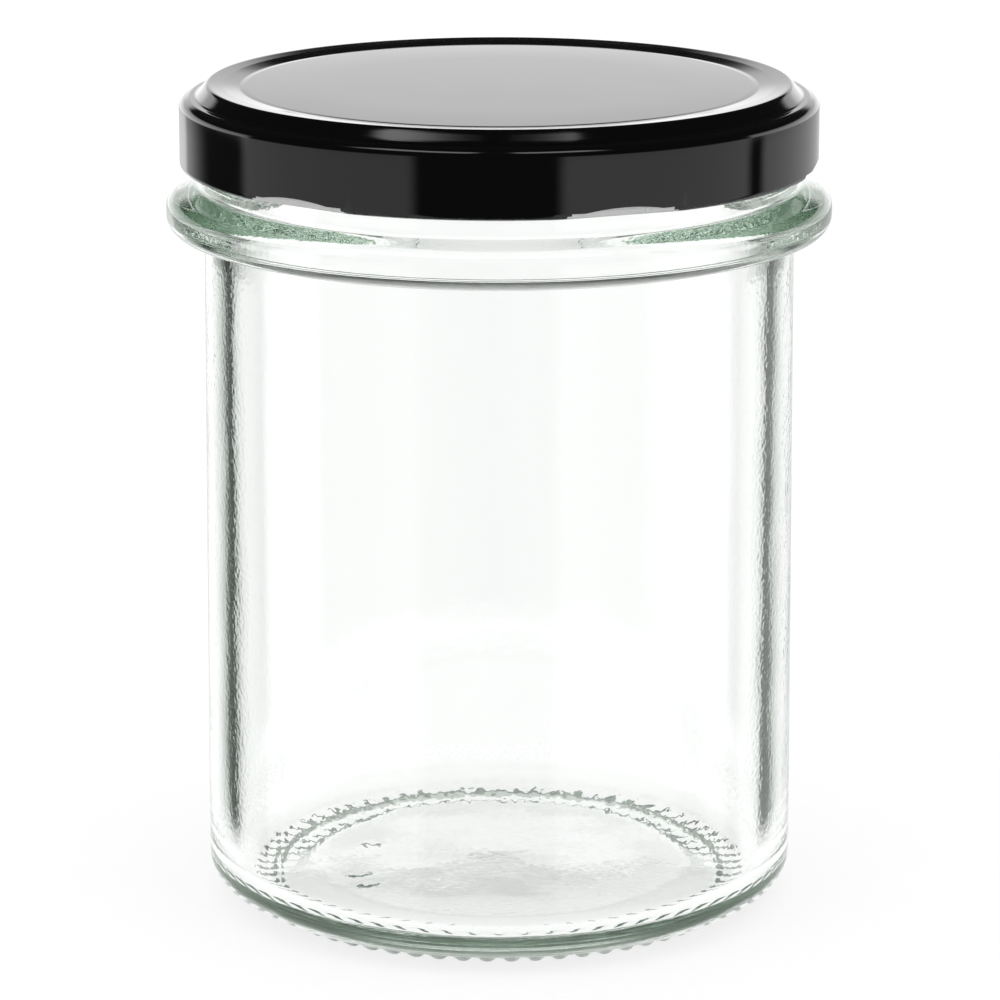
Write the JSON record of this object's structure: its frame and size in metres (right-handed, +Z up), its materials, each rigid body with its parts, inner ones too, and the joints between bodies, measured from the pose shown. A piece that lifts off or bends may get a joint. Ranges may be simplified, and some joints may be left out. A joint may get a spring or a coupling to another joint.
{
  "type": "glass jar with twist-off lid",
  "caption": "Empty straight-sided round glass jar with a stacking ring under the neck and a black metal twist-off lid.",
  "frame": {"origin": "on the jar's axis, in the plane it stands on", "axes": "+Z up along the jar's axis, -Y towards the front, +X to the right"},
  "size_m": [0.0884, 0.0884, 0.1113],
  "materials": {
    "glass": "clear moulded soda-lime glass, faintly green where it is thick",
    "black_lacquer": "glossy black lacquer on tinplate",
    "seal_compound": "matte off-white sealing compound"
  },
  "bodies": {
    "root": {"glass_jar": "glass", "lid": "black_lacquer", "seal_ring": "seal_compound"}
  },
  "joints": []
}
